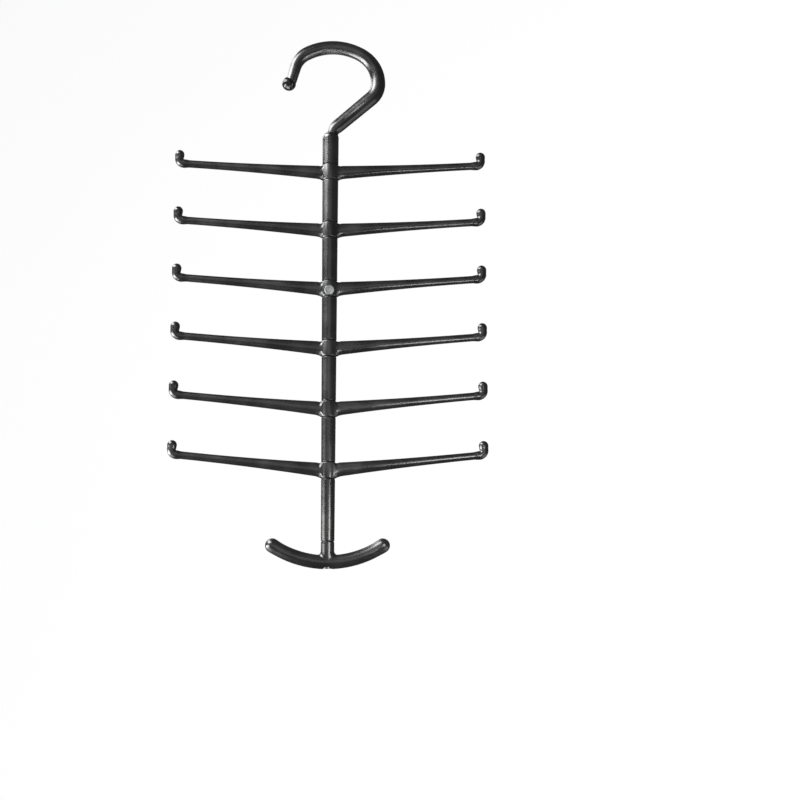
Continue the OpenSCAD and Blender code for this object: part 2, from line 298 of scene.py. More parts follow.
def noise(tree, place, scale, detail=2.0, rough=0.5):
    """A soft noise over the place, with about scale patches to each unit of it."""
    node = add(tree, "TexNoise", {"Detail": detail, "Roughness": rough})
    tree.links.new(place, node.inputs["Vector"])
    feed(tree, node.inputs["Scale"], scale)
    return node.outputs["Fac"]


# %% Lacquer, hairlines, rub and turning marks
def make_lacquer_skin():
    """Height is a fine noise of the peel's size; Smear is a soft noise of the smear's size."""
    group, given, out = new_group("lacquer_skin",
        [("Place", "Vector", None), ("Peel mm", "Float", 1.2), ("Smear mm", "Float", 16.0)],
        ["Height", "Smear"])
    peel = noise(group, given["Place"], cells(group, given["Peel mm"]), 1.0)
    smear = noise(group, given["Place"], cells(group, given["Smear mm"]), 4.0)
    group.links.new(peel, out["Height"])
    group.links.new(spread(group, smear, 0.36, 0.66), out["Smear"])
    return group


def make_hairlines():
    """A noise stretched along the piece; only its highest ridges show, broken up by a second noise."""
    group, given, out = new_group("hairlines",
        [("Lengths", "Vector", None), ("Spacing mm", "Float", 0.35), ("Run mm", "Float", 14.0),
         ("Amount", "Float", 0.5)], ["Mask"])
    parts = add(group, "SeparateXYZ")
    group.links.new(given["Lengths"], parts.inputs[0])
    joined = add(group, "CombineXYZ")
    group.links.new(in_steps(group, parts.outputs[0], given["Run mm"]), joined.inputs[0])
    group.links.new(in_steps(group, parts.outputs[1], given["Spacing mm"]), joined.inputs[1])
    ridges = spread(group, noise(group, joined.outputs[0], 1.0, 2.0), 0.62, 0.74)
    broken = spread(group, noise(group, given["Lengths"], 90.0, 3.0), 0.45, 0.62)
    mask = maths(group, "MULTIPLY", maths(group, "MULTIPLY", ridges, broken), given["Amount"])
    group.links.new(mask, out["Mask"])
    return group


def make_rub():
    """The piece's own wear, eaten into by a noise: wear + noise - 1, spread over a narrow range."""
    group, given, out = new_group("rub",
        [("Wear", "Float", 0.0), ("Place", "Vector", None), ("Patch mm", "Float", 1.5)], ["Mask"])
    patches = noise(group, given["Place"], cells(group, given["Patch mm"]), 5.0, 0.65)
    total = maths(group, "ADD", given["Wear"], patches)
    group.links.new(spread(group, total, 0.95, 1.3), out["Mask"])
    return group


def make_turning_marks():
    """Rings left by a lathe: a noise that changes only with the height."""
    group, given, out = new_group("turning_marks",
        [("Place", "Vector", None), ("Pitch mm", "Float", 0.2)], ["Height", "Tone"])
    parts = add(group, "SeparateXYZ")
    group.links.new(given["Place"], parts.inputs[0])
    joined = add(group, "CombineXYZ")
    group.links.new(in_steps(group, parts.outputs[2], given["Pitch mm"]), joined.inputs[2])
    marks = noise(group, joined.outputs[0], 1.0, 2.0)
    group.links.new(marks, out["Height"])
    tone = noise(group, given["Place"], 260.0, 4.0)
    group.links.new(spread(group, tone, 0.35, 0.65), out["Tone"])
    return group


LACQUER_SKIN, HAIRLINES = make_lacquer_skin(), make_hairlines()
RUB, TURNING = make_rub(), make_turning_marks()
print("shared effects:", [g.name for g in bpy.data.node_groups])


# %% Finishes
COAT_ROUGH, SMEAR_ROUGH, WORN_ROUGH, TONE_ROUGH = 0.12, 0.07, 0.22, 0.1
PEEL_DEPTH_MM, LINE_DEPTH = 0.0015, 0.1


def place(tree, group, **inputs):
    """A shared effect in this material, with its own values; an underline stands for a space."""
    node = add(tree, "Group", node_tree=group)
    for key, value in inputs.items():
        feed(tree, node.inputs[key.replace("_", " ")], value)
    return node.outputs


def blend_colours(tree, share, a, b):
    """Colour a where the share is 0, colour b where it is 1."""
    node = add(tree, "Mix", data_type="RGBA")
    tree.links.new(share, node.inputs["Factor"])
    for label, value in (("A", a), ("B", b)):
        socket = [s for s in node.inputs if s.name == label and s.type == "RGBA"][0]
        if isinstance(value, tuple):
            socket.default_value = (*value, 1)
        else:
            tree.links.new(value, socket)
    return [s for s in node.outputs if s.type == "RGBA"][0]


def new_material(name):
    """A material, its node tree and its Principled shader."""
    material = bpy.data.materials.new(name)
    material.use_nodes = True
    tree = material.node_tree
    return material, tree, tree.nodes["Principled BSDF"]


def bump(tree, shader, height, depth_mm):
    """Tilts the shading as a relief of that depth would, for a height from 0 to 1."""
    node = add(tree, "Bump", {"Distance": depth_mm * MM})
    tree.links.new(height, node.inputs["Height"])
    tree.links.new(node.outputs[0], shader.inputs["Normal"])


def lacquered(name, dark, pale, worn, metallic, rough, coat, peel=3.2, scratch=0.3):
    """Glossy lacquer over metal: two close tones by smear, hairlines along the piece, and a rub."""
    material, tree, shader = new_material(name)
    where = add(tree, "TexCoord").outputs
    wear = add(tree, "Attribute", attribute_name="wear").outputs["Fac"]
    coat_skin = place(tree, LACQUER_SKIN, Place=where["Object"], Peel_mm=peel)
    lines = place(tree, HAIRLINES, Lengths=where["UV"], Amount=scratch)["Mask"]
    rubbed = place(tree, RUB, Wear=wear, Place=where["Object"])["Mask"]
    tone = blend_colours(tree, coat_skin["Smear"], dark, pale)
    tree.links.new(blend_colours(tree, rubbed, tone, worn), shader.inputs["Base Color"])
    shader.inputs["Metallic"].default_value = metallic
    shader.inputs["Coat Weight"].default_value = coat
    shader.inputs["Coat Roughness"].default_value = COAT_ROUGH
    matt = maths(tree, "ADD", spread(tree, coat_skin["Smear"], 0, 1, rough, rough + SMEAR_ROUGH),
                 maths(tree, "MULTIPLY", maths(tree, "MAXIMUM", lines, rubbed), WORN_ROUGH))
    tree.links.new(matt, shader.inputs["Roughness"])
    height = maths(tree, "SUBTRACT", coat_skin["Height"], maths(tree, "MULTIPLY", lines, LINE_DEPTH))
    bump(tree, shader, height, PEEL_DEPTH_MM)
    return material


def machined(name, dark, pale, metallic, rough, pitch=0.2, depth=0.01):
    """Bare turned metal or moulded plastic: rings with the height and an uneven tone."""
    material, tree, shader = new_material(name)
    where = add(tree, "TexCoord").outputs
    marks = place(tree, TURNING, Place=where["Object"], Pitch_mm=pitch)
    tree.links.new(blend_colours(tree, marks["Tone"], dark, pale), shader.inputs["Base Color"])
    matt = spread(tree, marks["Tone"], 0, 1, rough, rough + TONE_ROUGH)
    tree.links.new(matt, shader.inputs["Roughness"])
    shader.inputs["Metallic"].default_value = metallic
    bump(tree, shader, marks["Height"], depth)
    return material


# %% The list of finishes
GUNMETAL = lacquered("gunmetal", dark=(0.130, 0.130, 0.132), pale=(0.195, 0.195, 0.197),
                     worn=(0.30, 0.30, 0.30), metallic=0.93, rough=0.26, coat=0.25)
POST = lacquered("post_gunmetal", dark=(0.155, 0.156, 0.153), pale=(0.200, 0.201, 0.197),
                 worn=(0.34, 0.34, 0.34), metallic=0.95, rough=0.24, coat=0.2)
BALL = lacquered("ball_black", dark=(0.010, 0.010, 0.011), pale=(0.020, 0.020, 0.021),
                 worn=(0.08, 0.08, 0.08), metallic=0.0, rough=0.13, coat=0.5, peel=2.0, scratch=0.2)
SATIN = machined("disc_satin", (0.60, 0.62, 0.62), (0.74, 0.76, 0.76),
                 metallic=0.75, rough=0.42, pitch=0.12)
STEEL = machined("spindle_steel", (0.42, 0.43, 0.44), (0.58, 0.59, 0.60), metallic=1.0, rough=0.28)
BRASS = machined("bush_brass", (0.55, 0.40, 0.17), (0.68, 0.52, 0.25), metallic=1.0, rough=0.3)
BLACK = machined("washer_black", (0.012, 0.012, 0.013), (0.024, 0.024, 0.025),
                 metallic=0.0, rough=0.5, pitch=0.3)
# The spring's near-black colour is painted shade: it darkens the narrow gap between the post's foot and the
# boss.
SPRING_PAINTED_SHADE = machined("spring_steel", (0.030, 0.030, 0.032), (0.055, 0.055, 0.058), metallic=0.5, rough=0.45)
SCREW = machined("screw_steel", (0.30, 0.30, 0.31), (0.45, 0.45, 0.46),
                 metallic=1.0, rough=0.33, pitch=0.15)
print("finishes:", [m.name for m in bpy.data.materials])

# %% [markdown]
# ## The hook
# A cast rod bent into a question mark. Its heading changes evenly along each arc, so the heading is a
# broken line over the length, and adding up small steps along the heading gives the route. The same
# kind of broken line gives the thickness, rounded off over a few millimetres as a casting would be.

# %% Hook
# Each pair is an arc's radius and the degrees that it turns by, or 0 and the length of a straight run.
# The widths belong to the points where these meet. Where a rail rubs is given by half its width along
# the crown, the heights between which the rub fades in and stops, and its strength.
hook_arcs = np.array([(8, -48.5), (0, 39), (17.5, 44.5), (29, 64), (47, 58), (20, 47), (0, 11), (9, -30)])
hook_widths = np.array([8.8, 11.4, 12.2, 12.2, 11.2, 11.2, 9 + (11.2 - 9) / 3, 9, 9])
NECK_SHIFT, HOOK_MEAN_R, HOOK_TIP_R, BALL_R, BALL_GAP = 1.9, 5.6, 4.5, 5.9, 0.15
RAIL_HALF, RAIL_TOP, RAIL_FADE, RAIL_FOOT, RAIL_WEAR = 16.0, 5.0, 4.0, -8.0, 0.75
bent = hook_arcs[:, 0] > 0
arc_lengths = np.where(bent, hook_arcs[:, 0] * np.radians(np.abs(hook_arcs[:, 1])), hook_arcs[:, 1])
hook_marks = np.append(0, np.cumsum(arc_lengths))
hook_turns = 90 + np.append(0, np.cumsum(np.where(bent, hook_arcs[:, 1], 0)))


def hook_route(step=0.4):
    """Stations every step: heading by straight interpolation, place by the sum of step * (cos, sin) of
    the heading half-way, and radius by the mean over three millimetres to either side."""
    fine = 0.05
    s = np.arange(0, hook_marks[-1], fine)
    middle = np.radians(np.interp(s + fine / 2, hook_marks, hook_turns))
    x = NECK_SHIFT + np.append(0, np.cumsum(fine * np.cos(middle)))
    z = NECK_Z + np.append(0, np.cumsum(fine * np.sin(middle)))
    s = np.append(s, s[-1] + fine)
    window = int(3 / fine)
    r = np.interp(s, hook_marks, hook_widths) / 2
    r = np.convolve(np.pad(r, window, mode="edge"), np.ones(2 * window + 1) / (2 * window + 1), "valid")
    keep = np.unique(np.append(np.arange(0, len(s), int(step / fine)), len(s) - 1))
    return s[keep], x[keep], z[keep], np.radians(np.interp(s[keep], hook_marks, hook_turns)), r[keep]


along, hook_x, hook_z, hook_heading, hook_r = hook_route()
hook_sides = 48
hook_grid = rod_grid(hook_x, hook_z, hook_heading, hook_r, hook_sides)
skin_x, skin_z = hook_grid[..., 0], hook_grid[..., 2]
rubbed = np.exp(-(skin_x / RAIL_HALF) ** 2) * smooth((RAIL_TOP - skin_z) / RAIL_FADE)
rubbed = rubbed * (skin_z > RAIL_FOOT)
hook_skin = skin(hook_grid, along, round_lengths(HOOK_MEAN_R, hook_sides), RAIL_WEAR * rubbed)
stem_low, stem_high = NECK_Z - STEM_LEN, NECK_Z + 0.5
stem = turned(soft_corners([(SPINDLE_SEAT_R, stem_low), (STEM_R, stem_low),
                            (STEM_R, stem_high), (SPINDLE_SEAT_R, stem_high)], 0.2))
settle("hook_rod", mesh_of("hook_rod", hook_skin, stem), GUNMETAL, "gunmetal", "root", "hook")
print("hook ends at", round(hook_x[-1], 2), round(hook_z[-1], 2))

# %% [markdown]
# ## The ball on the tip
# A black moulded ball with a socket pushed over the rod's end. It is one outline that starts in the
# middle of the socket's floor, runs along the socket's wall, turns over the lip and goes round the ball.


# %% Hook ball
def ball_cup(r, socket_r, lip=0.3, sides=64):
    """Rows of (distance along the axis, radius): the floor, the wall, a half-round lip, the sphere."""
    mouth = np.sqrt((r - lip) ** 2 - (socket_r + lip) ** 2)
    q = np.radians(np.linspace(180, 60, 7))
    lip_rows = np.stack([mouth - lip * 0.2 + lip * np.sin(q), socket_r + lip + lip * np.cos(q)], -1)
    start = np.arctan2(lip_rows[-1, 1], lip_rows[-1, 0])
    p = np.linspace(start, np.pi - 0.03, 48)
    sphere = np.stack([r * np.cos(p), r * np.sin(p)], -1)
    inside = np.array([(0.0, socket_r * 0.5), (0.0, socket_r - 0.2), (0.2, socket_r),
                       (mouth - lip, socket_r)])
    rows = np.vstack([inside, lip_rows[1:], sphere[1:]])
    angle = np.arange(sides) * 2 * np.pi / sides
    return rows[:, 0, None] + 0 * angle, rows[:, 1, None] * np.cos(angle), rows[:, 1, None] * np.sin(angle)


back_turn = np.radians(11.5)  # the rod still curls inside the socket, so the socket leans back
axis = hook_heading[-1] + np.pi + back_turn
far, side, depth = ball_cup(BALL_R, HOOK_TIP_R + BALL_GAP)
ball_grid = np.stack([hook_x[-1] + far * np.cos(axis) - side * np.sin(axis), depth,
                      hook_z[-1] + far * np.sin(axis) + side * np.cos(axis)], -1)
ball_along = np.append(0, np.cumsum(np.linalg.norm(np.diff(ball_grid[:, 0], axis=0), axis=1)))
ball_mesh = mesh_of("ball", skin(ball_grid, ball_along, round_lengths(BALL_R, ball_grid.shape[1]), 0.1))
settle("tip_ball", ball_mesh, BALL, "ball_black", "root", "hook_ball")

# %% [markdown]
# ## The post
# The top sleeve hides the hook's stem, so its bore is wide above and narrow below. Each spacer under a
# collar is a plain tube that tapers with the post. Their ends are broken by small roundings, which
# catch the light as thin lines at every joint of the stack.

# %% Post
END_ROUND, END_EDGE, END_WEAR, END_ROOM = 0.35, 0.3, 0.35, 0.2
SHOULDER_H, SHOULDER_FLAT = 4.0, 0.35
low = tier_z(1) + COLLAR_H / 2 + STACK_GAP
shoulder = np.radians(np.linspace(0, 90, 12))
shoulder_w, step_z = POST_TOP_R - STEM_BORE_R - SHOULDER_FLAT, NECK_Z - STEM_LEN - END_ROOM
outer = soft_corners([(SPINDLE_BORE_R, low), (post_r(low), low), (post_r(NECK_Z), NECK_Z)], END_ROUND)
rounded = np.stack([POST_TOP_R - shoulder_w * (1 - np.cos(shoulder)),
                    NECK_Z - SHOULDER_H * (1 - np.sin(shoulder))], -1)
inner = np.array([(STEM_BORE_R, NECK_Z - 0.2), (STEM_BORE_R, step_z), (SPINDLE_BORE_R, step_z)])
two_corners, guard_z = outer[:2 * (CORNER_STEPS + 2)], NECK_Z - SHOULDER_H - 0.3
sleeve = np.vstack([two_corners, [(post_r(guard_z), guard_z)], rounded, inner])
settle("sleeve_skin", mesh_of("sleeve", turned(sleeve)), POST, "post_gunmetal", "root", "top_sleeve")

for i in range(1, TIERS + 1):
    high = tier_z(i) - COLLAR_H / 2 - STACK_GAP
    low = tier_z(i + 1) + COLLAR_H / 2 + STACK_GAP if i < TIERS else FOOT_Z
    tube = soft_corners([(SPINDLE_BORE_R, low), (post_r(low), low), (post_r(high), high),
                         (SPINDLE_BORE_R, high)], END_ROUND)
    at_end = np.minimum(tube[:, 1] - low, high - tube[:, 1]) < END_EDGE
    worn = END_WEAR * (tube[:, 0] > SPINDLE_BORE_R + 1) * at_end
    spacer = mesh_of("spacer", turned(tube, worn))
    settle(f"spacer_skin_{i}", spacer, POST, "post_gunmetal", "root", f"spacer_{i}")

# %% [markdown]
# ## The arm pairs
# Each pair is one casting: a collar with an arm to either side. A row of the grid is an upright slice
# with rounded corners. In the collar the slice is a wide box, as a slice of a disc is; further out it
# shrinks into a circle, and the change between the two is the cast fillet. The root of an arm is less
# deep than tall, which lets the round front of the collar stand out before it. The left half mirrors
# the right one, so one grid runs from tip to tip. The bore for the bush is cut out afterwards.

# %% Arm sizes
ARM_REACH, ARM_RISE, RISE_STEP = 125.8, 3.4, 0.5
ARM_ROOT_R, ARM_END_R, ARM_MEAN_R, BORE_CUT = 5.8, 3.1, 3.5, 16.0
TIP_RISE, TIP_R, BEND_R, BEND_ROD_R, SWELL = 11.4, 3.9, 4.2, 3.6, 5.0
FLARE_START, FILLET = 6.8, 1.6
ROOT_SLIM, SLIM_RUN, STEP_FADE = 0.24, 40.0, 1.2
SIDE_STRAIGHT, SIDE_FADE, LEAN_RUN = 3.6, 3.6, 5.0
EDGE_WEAR, EDGE_INSET, EDGE_REACH = 0.5, 0.4, 0.5
SLIDE_WEAR, SLIDE_START, SLIDE_RUN = 0.32, 60.0, 40.0
DISC_R, DISC_T, DISC_DROP, DISC_PROUD, DISC_ROOM = 4.0, 2.2, 2.0, 0.3, 0.02


# %% Arm shape
def arm_slices(collar_r, rise):
    """Stations from the post's axis to the end of the tip, as arrays: place (x, z) and heading in the
    arm's own upright plane, half width, half height, and the half sizes of the flats between the rounded
    corners. A disc of radius R is sqrt(R^2 - t^2) wide at t; the arm's flare is end + (root - end)(1-s)^2,
    and its half depth is a share of that which grows from 1 - ROOT_SLIM to 1."""
    run = ARM_REACH / np.cos(rise) - BEND_R + TIP_RISE * np.tan(rise) / 2
    flat_r, half_h = collar_r - COLLAR_EDGE, COLLAR_H / 2
    t = np.concatenate([flat_r * np.sin(np.radians(np.arange(3, 90, 4.5))),
                        np.linspace(flat_r, flat_r + 6, 20), np.linspace(flat_r + 7, run - SWELL, 54),
                        np.linspace(run - SWELL, run, 9)[1:]])
    s = np.clip((t - FLARE_START) / (run - SWELL - FLARE_START), 0, 1)
    r = ARM_END_R + (ARM_ROOT_R - ARM_END_R) * (1 - s) ** 2
    r = r + (BEND_ROD_R - ARM_END_R) * smooth((t - run + SWELL) / SWELL)
    disc = np.sqrt(np.maximum(collar_r ** 2 - t ** 2, 0))
    soft = FILLET * np.clip(t / collar_r, 0, 1) ** 2 * (t < 2 * collar_r)
    deep = r * (1 - ROOT_SLIM * (1 - smooth((t - FLARE_START) / SLIM_RUN)))
    wide = (disc + deep + np.sqrt((disc - deep) ** 2 + soft ** 2 * (disc > 0))) / 2
    step = wide[disc > 0][-1] - deep[disc > 0][-1]
    wide = np.where(disc > 0, wide, deep + step * np.exp(-(t - collar_r) / STEP_FADE))
    tall = r + (half_h - r) * (1 - smooth((t - flat_r) / (COLLAR_EDGE + FILLET)))
    top_flat = np.sqrt(np.maximum(flat_r ** 2 - t ** 2, 0))
    side_flat = (half_h - COLLAR_EDGE) * (1 - smooth((t - SIDE_STRAIGHT) / SIDE_FADE))
    leaning = smooth((t - flat_r) / LEAN_RUN)
    lean = rise * leaning
    x = t * (1 - leaning * (1 - np.cos(rise)))
    z = leaning * t * np.sin(rise)
    q = np.radians(np.arange(5, 91, 5))
    column = TIP_RISE - BEND_R - TIP_R
    up = np.linspace(0, column, 6)[1:]
    cap = np.radians(np.arange(6, 88, 6))
    end_t = np.concatenate([run + BEND_R * np.sin(q), np.full(len(up) + len(cap), run + BEND_R)])
    end_z = np.concatenate([BEND_R * (1 - np.cos(q)), BEND_R + up, BEND_R + column + TIP_R * np.sin(cap)])
    end_q = np.concatenate([q, np.full(len(up) + len(cap), np.pi / 2)])
    column_r = BEND_ROD_R + (TIP_R - BEND_ROD_R) * smooth(up / column)
    end_r = np.concatenate([np.full(len(q), BEND_ROD_R), column_r, TIP_R * np.cos(cap)])
    x = np.append(x, end_t * np.cos(rise) - end_z * np.sin(rise))
    z = np.append(z, end_t * np.sin(rise) + end_z * np.cos(rise))
    none = np.zeros(len(end_t))
    return (x, z, np.append(lean, end_q + rise), np.append(wide, end_r), np.append(tall, end_r),
            np.append(top_flat, none), np.append(side_flat, none))


def arm_grid(collar_r, rise, sides=48):
    """The slices of both arms as one grid, with its lengths and its wear. A point at angle q of a slice
    lies sideways by the flat's half size, with the sign of cos q, + its corner's half width * cos q, and
    upwards likewise. The wear is on the collar's rims and on top of the arm's outer part."""
    x, z, lean, wide, tall, top, side = arm_slices(collar_r, rise)
    x, lean = np.append(-x[::-1], x), np.append(-lean[::-1], lean)
    z, wide, tall, top, side = (np.append(a[::-1], a) for a in (z, wide, tall, top, side))
    q = (np.arange(sides) + 0.5) * 2 * np.pi / sides
    c, s = np.cos(q), np.sin(q)
    y = top[:, None] * np.sign(c) + (wide - top)[:, None] * c
    up = side[:, None] * np.sign(s) + (tall - side)[:, None] * s
    lean = lean[:, None]
    grid = np.stack([x[:, None] - up * np.sin(lean), y, z[:, None] + up * np.cos(lean)], -1)
    along = np.append(0, np.cumsum(np.hypot(np.diff(x), np.diff(z))))
    from_axis = np.hypot(grid[..., 0], grid[..., 1])
    edge = np.exp(-((from_axis - collar_r + EDGE_INSET) / EDGE_REACH) ** 2)
    edge = edge * smooth((np.abs(grid[..., 2]) - COLLAR_H / 2 + 1) / 0.8)
    far = np.abs(grid[..., 0])
    slide = SLIDE_WEAR * (up > 0) * smooth((far - SLIDE_START) / SLIDE_RUN)
    return grid, along, np.maximum(EDGE_WEAR * edge, slide)


# %% Arm pairs
for i in range(1, TIERS + 1):
    collar_r = post_r(tier_z(i)) + COLLAR_PROUD
    grid, along, wear = arm_grid(collar_r, np.radians(ARM_RISE + (i - 1) * RISE_STEP))
    grid[..., 2] += tier_z(i)
    pair = mesh_of("arm_pair", skin(grid, along, round_lengths(ARM_MEAN_R, grid.shape[1]), wear))
    cutters = [mesh_of("bore", plain_rod((0, 0, tier_z(i) - BORE_CUT / 2), "z", BUSH_R, BORE_CUT))]
    if i == DISC_TIER:
        pocket_y, depth = -(collar_r + DISC_PROUD - DISC_T), 6
        pocket = plain_rod((0, pocket_y - depth, tier_z(i) - DISC_DROP), "y", DISC_R + DISC_ROOM, depth)
        cutters.append(mesh_of("pocket", pocket))
    settle(f"arm_skin_{i}", cut_away(pair, *cutters), GUNMETAL, "gunmetal", f"tier_{i}", f"arm_pair_{i}")

# %% [markdown]
# ## The pale disc
# A small turned disc pressed into the front of the third collar, a little hollow inside its rim. It is
# turned about an axis that points at the viewer, from the middle of its back to the middle of its front.

# %% Pale disc
RIM, DISH, DISC_EDGE, DISC_SIDES = 0.8, 0.3, 0.3, 72
front = post_r(tier_z(DISC_TIER)) + COLLAR_PROUD + DISC_PROUD
dish_r = ((DISC_R - RIM) ** 2 + DISH ** 2) / (2 * DISH)
hollow = np.linspace(DISC_R - RIM, 0.2, 14)
edge_q = np.radians(np.arange(0, 91, 15))
disc_back = [(DISC_T, DISC_R - 0.6), (DISC_T, DISC_R - 0.2), (DISC_T - 0.2, DISC_R), (0.55, DISC_R)]
disc_edge = np.stack([DISC_EDGE * (1 - np.sin(edge_q)), DISC_R - DISC_EDGE * (1 - np.cos(edge_q))], -1)
disc_rim = [(0.0, DISC_R - 0.5), (0.0, DISC_R - RIM + 0.08)]
disc_dish = np.stack([DISH - dish_r + np.sqrt(dish_r ** 2 - hollow ** 2), hollow], -1)
disc_rows = np.vstack([disc_back, disc_edge, disc_rim, disc_dish])
q = np.arange(DISC_SIDES) * 2 * np.pi / DISC_SIDES
disc_grid = np.stack([disc_rows[:, 1, None] * np.cos(q), disc_rows[:, 0, None] - front + 0 * q,
                      tier_z(DISC_TIER) - DISC_DROP + disc_rows[:, 1, None] * np.sin(q)], -1)
disc_along = np.append(0, np.cumsum(np.hypot(*np.diff(disc_rows, axis=0).T)))
disc_mesh = mesh_of("disc", skin(disc_grid, disc_along, round_lengths(DISC_R, DISC_SIDES)))
settle("disc_skin", disc_mesh, SATIN, "disc_satin", f"tier_{DISC_TIER}", "pale_disc")

# %% [markdown]
# ## The foot bar
# A thick rod bent gently upwards, with swollen round ends, and a boss that stands on it under the post.
# Where the boss meets the bar a real casting has a saddle-shaped fillet: its foot follows the bar's
# round back. The screw's recess is cut from below and the spindle's seat from above.

# %% Foot bar
BAR_BEND, BAR_HALF, BAR_R, END_R, BAR_SIDES = 80.0, 44.0, 5.6, 5.8, 56
RECESS_R, RECESS_DEPTH, SHAFT_R, BOSS_FILLET = 3.95, 3.5, 2.15, 3.0
SWELL_START, SWELL_TURN, CUT_BELOW = 0.09, 0.08, 12.0
turn = np.arcsin(BAR_HALF / BAR_BEND)
q = np.linspace(-turn, turn, 121)
cap = np.radians(np.arange(6, 88, 6))
swell = BAR_R + (END_R - BAR_R) * smooth((np.abs(q) - turn + SWELL_START) / SWELL_TURN)
bar_x, bar_z, bar_q = BAR_BEND * np.sin(q), BAR_Z + BAR_BEND * (1 - np.cos(q)), q
cap_x = bar_x[-1] + END_R * np.sin(cap) * np.cos(turn)
cap_z = bar_z[-1] + END_R * np.sin(cap) * np.sin(turn)
bar_x = np.concatenate([-cap_x[::-1], bar_x, cap_x])
bar_z = np.concatenate([cap_z[::-1], bar_z, cap_z])
bar_q = np.concatenate([np.full(len(cap), -turn), bar_q, np.full(len(cap), turn)])
bar_r = np.concatenate([END_R * np.cos(cap)[::-1], swell, END_R * np.cos(cap)])
bar_along = np.append(0, np.cumsum(np.hypot(np.diff(bar_x), np.diff(bar_z))))
bar_grid = rod_grid(bar_x, bar_z, bar_q, bar_r, BAR_SIDES)
bar_skin = skin(bar_grid, bar_along, round_lengths(BAR_R, BAR_SIDES))


def boss_grid(r, fillet, sides=96):
    """Rows from the boss's top down. On the fillet, at angle q, the foot has moved out along the bar by
    fillet (1 - cos q) and stands fillet (1 - sin q) above the bar's back, which is sqrt(R^2 - y^2) high."""
    a = np.arange(sides) * 2 * np.pi / sides
    edge = np.radians(np.arange(0, 91, 15))[:, None]
    top_z, soft = BOSS_TOP_Z, 0.35
    rim = r - soft + soft * np.sin(edge)
    cap = np.stack([rim * np.cos(a), rim * np.sin(a), top_z - soft + soft * np.cos(edge) + 0 * a], -1)
    f = np.radians(np.arange(0, 91, 9))[:, None]
    x, y = (r + fillet * (1 - np.cos(f))) * np.cos(a), r * np.sin(a) + 0 * f
    back = BAR_Z + BAR_BEND - np.sqrt(BAR_BEND ** 2 - x ** 2) + np.sqrt(BAR_R ** 2 - y ** 2)
    foot = np.stack([x, y, back + fillet * (1 - np.sin(f)) - 0.04 * np.sin(f)], -1)
    wall_low, wall_high = foot[0], cap[-1]
    share = np.linspace(0, 1, 6)[1:-1, None, None]
    wall = wall_high * (1 - share) + wall_low * share
    under = foot[-1] * np.array([0.85, 0.85, 1]) - np.array([0, 0, 1.5])
    return np.concatenate([cap, wall, foot, under[None]])


grid = boss_grid(POST_FOOT_R, BOSS_FILLET)
drop = np.append(0, np.cumsum(np.linalg.norm(np.diff(grid[:, 0], axis=0), axis=1)))
boss_skin = skin(grid, drop, round_lengths(POST_FOOT_R, grid.shape[1]))
recess_run = CUT_BELOW - BAR_R + RECESS_DEPTH
recess = mesh_of("recess", plain_rod((0, 0, BAR_Z - CUT_BELOW), "z", RECESS_R, recess_run))
seat = mesh_of("seat", plain_rod((0, 0, BAR_Z + BAR_R - 0.2), "z", SPINDLE_BORE_R, 20))
shaft = mesh_of("shaft", plain_rod((0, 0, BAR_Z - 4), "z", SHAFT_R, 12))
bar_part = cut_away(mesh_of("bar", bar_skin), recess, shaft)
boss_part = cut_away(mesh_of("boss", boss_skin), seat, shaft)
joined = bmesh.new()
joined.from_mesh(bar_part)
joined.from_mesh(boss_part)
bar_mesh = bpy.data.meshes.new("foot_bar_skin")
joined.to_mesh(bar_mesh)
joined.free()
bar_mesh.set_sharp_from_angle(angle=SHARP_ANGLE)
settle("foot_bar_skin", bar_mesh, GUNMETAL, "gunmetal", "root", "foot_bar")

# %% [markdown]
# ## Finishes for the solids that stay
# The spindle, pin, bushes, washers, spring and screw keep their exact solids. Little of them shows:
# the thin black washers at the collars, the spring above the boss, coloured near-black as painted shade
# for the gap there, and the screw under the bar.

# %% Materials on the CAD nodes
# The spring's material is near-black as painted shade for the gap above the boss.
STAYS = {"spindle": STEEL, "stem_pin": STEEL, "washers": BLACK, "disc_spring": SPRING_PAINTED_SHADE, "foot_screw": SCREW}
STAYS.update({f"bush_{i}": BRASS for i in range(1, TIERS + 1)})
for name, material in STAYS.items():
    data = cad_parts[name].data
    if not data.materials:
        data.materials.append(material)
    for k in range(len(data.materials)):
        data.materials[k] = material
print("kept solids:", sorted(STAYS))

# %% [markdown]
# ## Floor, backdrop and light
# The hanger hangs in a white sweep. The floor runs out flat, curves up all round into a wall and ends in
# a flat ceiling, so every view has a pale ground. The sweep is left out of the reflections, and the dark
# metal mirrors a dim room with the lamps and cards of a product studio:
#
# - a tall soft light on the left in two parts, which draws the pale strip down the left of post and hook;
# - weaker ones behind it, in front of it and behind the hanger, which lift the edges;
# - a small light close to the foot, which draws the second strip on the lower post;
# - two cards below, which light the undersides of the arms and the bar, and two small ones at the hook.


# %% Stage
def bowl(radius=2.6, bend=1.4, height=4.0, floor_z=-1.0, sides=72):
    """A flat floor out to the radius, a quarter circle up, then a wall and a flat ceiling."""
    q = np.radians(np.arange(0, 91, 7.5))
    r = np.concatenate([[0.01, radius / 2], radius + bend * np.sin(q), [radius + bend]])
    z = floor_z + np.concatenate([[0, 0], bend * (1 - np.cos(q)), [height]])
    a = np.arange(sides) * 2 * np.pi / sides
    points = np.stack([r[:, None] * np.cos(a), r[:, None] * np.sin(a), z[:, None] + 0 * a], -1)
    i, j = (g.ravel() for g in np.meshgrid(np.arange(len(r) - 1), np.arange(sides), indexing="ij"))
    n = (j + 1) % sides
    faces = np.stack([i * sides + j, (i + 1) * sides + j, (i + 1) * sides + n, i * sides + n], -1)
    mesh = bpy.data.meshes.new("sweep")
    middle_cap, last = list(range(sides)), (len(r) - 1) * sides
    ceiling = [last + k for k in reversed(range(sides))]
    mesh.from_pydata(points.reshape(-1, 3).tolist(), [], faces.tolist() + [middle_cap, ceiling])
    mesh.polygons.foreach_set("use_smooth", np.ones(len(mesh.polygons), bool))
    mesh.set_sharp_from_angle(angle=SHARP_ANGLE)
    return mesh


